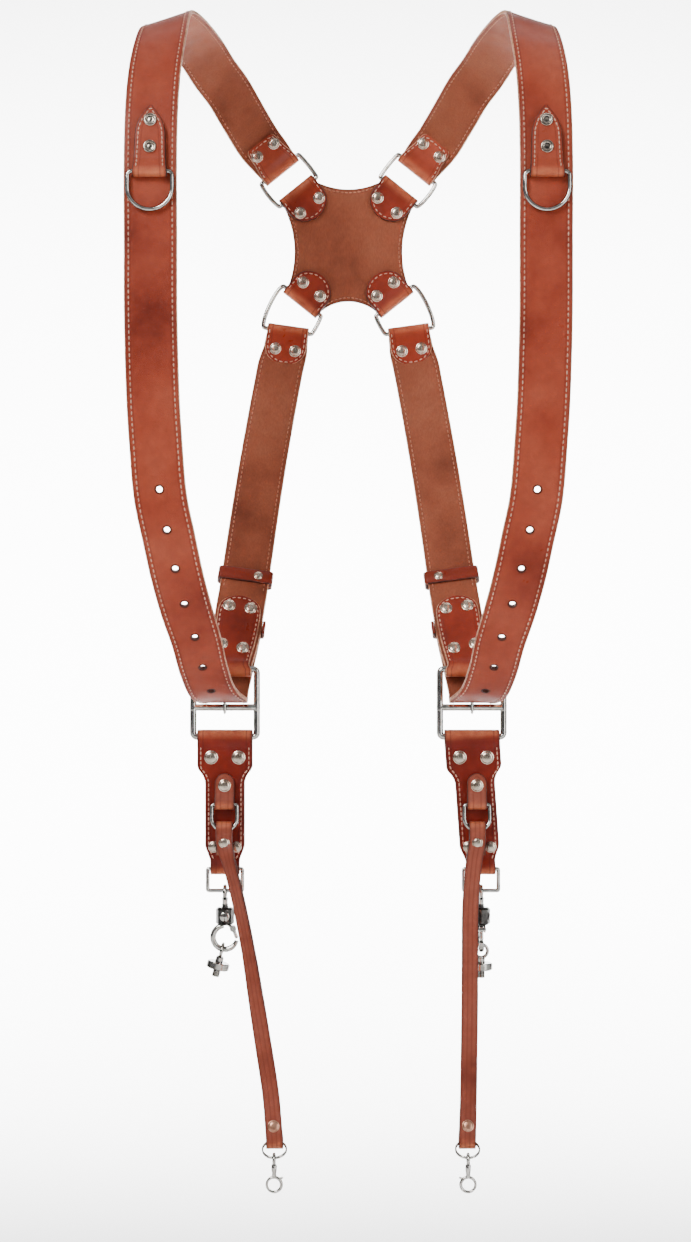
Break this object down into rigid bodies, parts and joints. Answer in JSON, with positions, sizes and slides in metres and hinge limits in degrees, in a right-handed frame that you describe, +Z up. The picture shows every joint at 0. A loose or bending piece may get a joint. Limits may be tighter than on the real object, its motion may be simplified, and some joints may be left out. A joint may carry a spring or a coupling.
{
  "type": "dual camera harness",
  "caption": "Leather shoulder harness with a back yoke, chest rings, buckled hip hangers with snap hooks and screws, and thin safety tethers.",
  "frame": {"origin": "between the tops of the two shoulders, level with the inner faces of the straps where they cross the shoulders", "axes": "+Z up, the wearer faces -Y, +X towards the wearer's left hand; node names ending in _left are on the viewer's left (-X)"},
  "size_m": [0.3196, 0.2562, 0.881],
  "materials": {
    "cognac_leather": "glossy pull-up leather with pale stitches",
    "inner_leather": "matte inner side of the leather",
    "nickel": "polished nickel plate",
    "dark_steel": "satin black nickel"
  },
  "bodies": {
    "harness": {"yoke": "inner_leather", "shoulder_strap_left": "cognac_leather", "back_strap_left": "cognac_leather", "yoke_ring_upper_left": "nickel", "yoke_ring_lower_left": "nickel", "keeper_upper_left": "cognac_leather", "keeper_lower_left": "cognac_leather", "chest_tab_left": "cognac_leather", "hip_frame_left": "nickel", "prong_left": "nickel", "hanger_left": "cognac_leather", "small_tab_left": "cognac_leather", "small_ring_left": "nickel", "tether_left": "cognac_leather", "split_ring_left": "nickel", "clasp_left": "nickel", "shoulder_strap_right": "cognac_leather", "back_strap_right": "cognac_leather", "yoke_ring_upper_right": "nickel", "yoke_ring_lower_right": "nickel", "keeper_upper_right": "cognac_leather", "keeper_lower_right": "cognac_leather", "chest_tab_right": "cognac_leather", "hip_frame_right": "nickel", "prong_right": "nickel", "hanger_right": "cognac_leather", "small_tab_right": "cognac_leather", "small_ring_right": "nickel", "tether_right": "cognac_leather", "split_ring_right": "nickel", "clasp_right": "nickel"},
    "chest_ring_left_body": {"chest_ring_left": "nickel"},
    "link_left_body": {"link_left": "nickel"},
    "hook_eye_left_body": {"hook_eye_left": "nickel"},
    "hook_left_body": {"hook_body_left": "dark_steel", "mount_screw_left": "nickel"},
    "gate_left_body": {"hook_gate_left": "nickel"},
    "chest_ring_right_body": {"chest_ring_right": "nickel"},
    "link_right_body": {"link_right": "nickel"},
    "hook_eye_right_body": {"hook_eye_right": "nickel"},
    "hook_right_body": {"hook_body_right": "dark_steel", "mount_screw_right": "nickel"},
    "gate_right_body": {"hook_gate_right": "nickel"}
  },
  "joints": [
    {"name": "chest_ring_left_hinge", "type": "hinge", "parent": "harness", "child": "chest_ring_left_body", "pos_m": [-0.14075, -0.09442, -0.13144], "axis": [-1, 0, 0], "range_deg": [-3, 150]},
    {"name": "link_left_swing", "type": "hinge", "parent": "harness", "child": "link_left_body", "pos_m": [-0.0947, 0.032, -0.6402], "axis": [1, 0, 0], "range_deg": [-5, 60]},
    {"name": "hook_left_swing", "type": "hinge", "parent": "link_left_body", "child": "hook_eye_left_body", "pos_m": [-0.0947, 0.032, -0.6569], "axis": [1, 0, 0], "range_deg": [-6, 70]},
    {"name": "hook_left_swivel", "type": "hinge", "parent": "hook_eye_left_body", "child": "hook_left_body", "pos_m": [-0.0947, 0.032, -0.68], "axis": [0, 0, 1], "continuous": true},
    {"name": "gate_left_lever", "type": "hinge", "parent": "hook_left_body", "child": "gate_left_body", "pos_m": [-0.08854, 0.032, -0.68596], "axis": [0, 1, 0], "range_deg": [0, 30], "stiffness_Nm_per_rad": 0.01, "springref_deg": -17.19},
    {"name": "chest_ring_right_hinge", "type": "hinge", "parent": "harness", "child": "chest_ring_right_body", "pos_m": [0.14075, -0.09442, -0.13144], "axis": [-1, 0, 0], "range_deg": [-3, 150]},
    {"name": "link_right_swing", "type": "hinge", "parent": "harness", "child": "link_right_body", "pos_m": [0.10181, 0.032, -0.6402], "axis": [1, 0, 0], "range_deg": [-5, 60]},
    {"name": "hook_right_swing", "type": "hinge", "parent": "link_right_body", "child": "hook_eye_right_body", "pos_m": [0.10181, 0.032, -0.6569], "axis": [1, 0, 0], "range_deg": [-6, 70]},
    {"name": "hook_right_swivel", "type": "hinge", "parent": "hook_eye_right_body", "child": "hook_right_body", "pos_m": [0.10181, 0.032, -0.68], "axis": [0, 0, 1], "continuous": true},
    {"name": "gate_right_lever", "type": "hinge", "parent": "hook_right_body", "child": "gate_right_body", "pos_m": [0.10181, 0.02584, -0.68596], "axis": [1, 0, 0], "range_deg": [0, 30], "stiffness_Nm_per_rad": 0.01, "springref_deg": -17.19}
  ]
}
